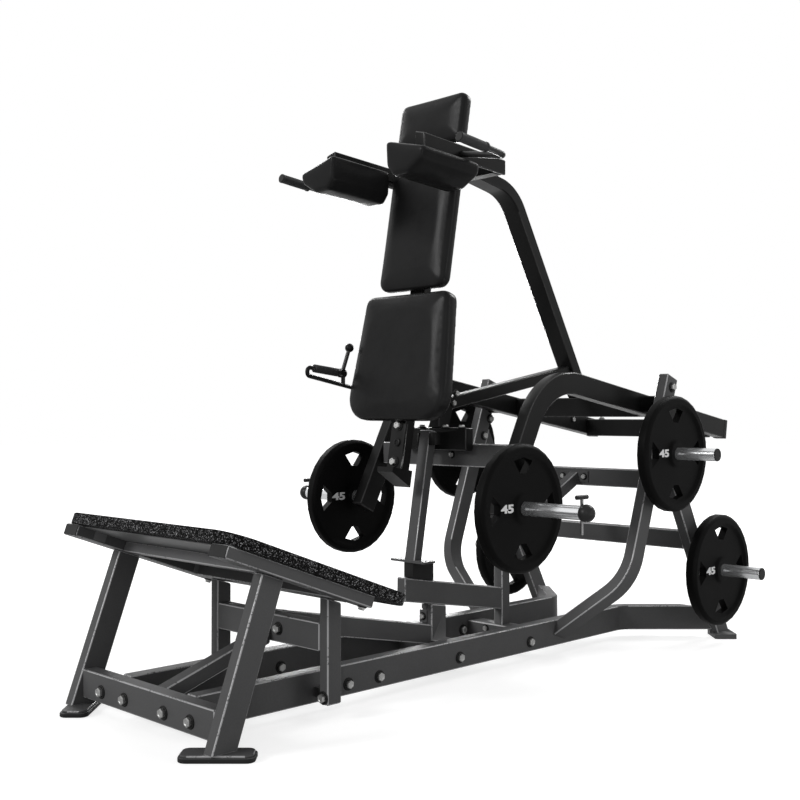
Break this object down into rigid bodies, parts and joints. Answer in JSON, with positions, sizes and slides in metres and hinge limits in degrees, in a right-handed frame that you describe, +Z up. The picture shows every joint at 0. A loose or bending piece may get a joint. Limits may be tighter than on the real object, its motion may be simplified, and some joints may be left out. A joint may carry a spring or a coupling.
{
  "type": "v-squat machine",
  "caption": "Plate-loaded squat machine: sloped foot platform, hinged carriage with back and shoulder pads, loading horns and storage for loose weight discs.",
  "frame": {"origin": "middle of the footprint, on the floor", "axes": "+Y from the foot platform to the rear, +Z up, +X to the left hand of a user who stands on the platform with the back on the pads"},
  "size_m": [1.484, 2.8598, 2.12],
  "materials": {
    "frame_grey": "dark grey powder coat",
    "satin_black": "satin black powder coat",
    "vinyl": "black upholstery vinyl",
    "urethane": "black urethane over a weight disc",
    "chromed": "polished chrome",
    "rubber": "black rubber",
    "deck": "speckled rubber deck"
  },
  "bodies": {
    "frame": {"rail_left": "frame_grey", "rail_right": "frame_grey", "front_crossbar": "frame_grey", "front_leg_left": "frame_grey", "front_leg_right": "frame_grey", "front_foot_left": "rubber", "front_foot_right": "rubber", "platform_beam_left": "frame_grey", "platform_beam_right": "frame_grey", "platform_rear_bar": "frame_grey", "platform_mat": "deck", "short_post_left": "frame_grey", "short_post_right": "frame_grey", "mid_crossbar": "frame_grey", "front_brace": "frame_grey", "spine": "frame_grey", "beam_support": "frame_grey", "stop_beam": "frame_grey", "stop_post": "frame_grey", "bumper": "rubber", "upright_left": "frame_grey", "upright_right": "frame_grey", "rear_strut_left": "frame_grey", "rear_strut_right": "frame_grey", "rear_bar_high": "frame_grey", "rear_bar_low": "frame_grey", "rear_brace": "frame_grey", "store_horn_high_left": "chromed", "store_horn_high_right": "chromed", "store_horn_low_left": "chromed", "store_horn_low_right": "chromed"},
    "carriage": {"arm_left": "satin_black", "arm_right": "satin_black", "cross_beam": "satin_black", "tail_bar": "satin_black", "carriage_bar": "frame_grey", "hinge_box": "satin_black", "centre_beam": "satin_black", "yoke": "satin_black", "pad_spar": "satin_black", "lower_pad": "vinyl", "back_pad": "vinyl", "head_pad": "vinyl", "shoulder_pad_left": "vinyl", "shoulder_pad_right": "vinyl", "grip_left": "satin_black", "grip_right": "satin_black", "load_horn_left": "chromed", "load_horn_right": "chromed", "side_handle": "satin_black"},
    "stop_leg": {"stop_leg": "frame_grey"},
    "release_lever": {"release_lever": "satin_black"},
    "disc_load_left": {"disc_load_left": "urethane"},
    "disc_high_left": {"disc_high_left": "urethane"},
    "disc_low_left": {"disc_low_left": "urethane"},
    "lock_pin_left": {"lock_pin_left": "chromed"},
    "disc_load_right": {"disc_load_right": "urethane"},
    "disc_high_right": {"disc_high_right": "urethane"},
    "disc_low_right": {"disc_low_right": "urethane"},
    "lock_pin_right": {"lock_pin_right": "chromed"}
  },
  "joints": [
    {"name": "carriage_hinge", "type": "hinge", "parent": "frame", "child": "carriage", "pos_m": [0, 0.76407, 0.977], "axis": [-1, 0, 0], "range_deg": [0, 12]},
    {"name": "stop_leg_hinge", "type": "hinge", "parent": "carriage", "child": "stop_leg", "pos_m": [0, -0.12393, 0.845], "axis": [-1, 0, 0], "range_deg": [0, 18]},
    {"name": "lever_hinge", "type": "hinge", "parent": "carriage", "child": "release_lever", "pos_m": [-0.2492, -0.32593, 1.0939], "axis": [1, 0, 0], "range_deg": [0, 27]},
    {"name": "disc_load_left_slide", "type": "slide", "parent": "carriage", "child": "disc_load_left", "axis": [-1, 0, 0], "range_m": [0, 0.21]},
    {"name": "disc_high_left_slide", "type": "slide", "parent": "frame", "child": "disc_high_left", "axis": [-1, 0, 0], "range_m": [0, 0.24]},
    {"name": "disc_low_left_slide", "type": "slide", "parent": "frame", "child": "disc_low_left", "axis": [-1, 0, 0], "range_m": [0, 0.24]},
    {"name": "lock_pin_left_slide", "type": "slide", "parent": "carriage", "child": "lock_pin_left", "axis": [0, 0, 1], "range_m": [0, 0.1]},
    {"name": "disc_load_right_slide", "type": "slide", "parent": "carriage", "child": "disc_load_right", "axis": [1, 0, 0], "range_m": [0, 0.21]},
    {"name": "disc_high_right_slide", "type": "slide", "parent": "frame", "child": "disc_high_right", "axis": [1, 0, 0], "range_m": [0, 0.24]},
    {"name": "disc_low_right_slide", "type": "slide", "parent": "frame", "child": "disc_low_right", "axis": [1, 0, 0], "range_m": [0, 0.24]},
    {"name": "lock_pin_right_slide", "type": "slide", "parent": "carriage", "child": "lock_pin_right", "axis": [0, 0, 1], "range_m": [0, 0.1]}
  ],
  "couplings": [
    {"joint": "lever_hinge", "follows": "stop_leg_hinge", "ratio": 1.5}
  ]
}
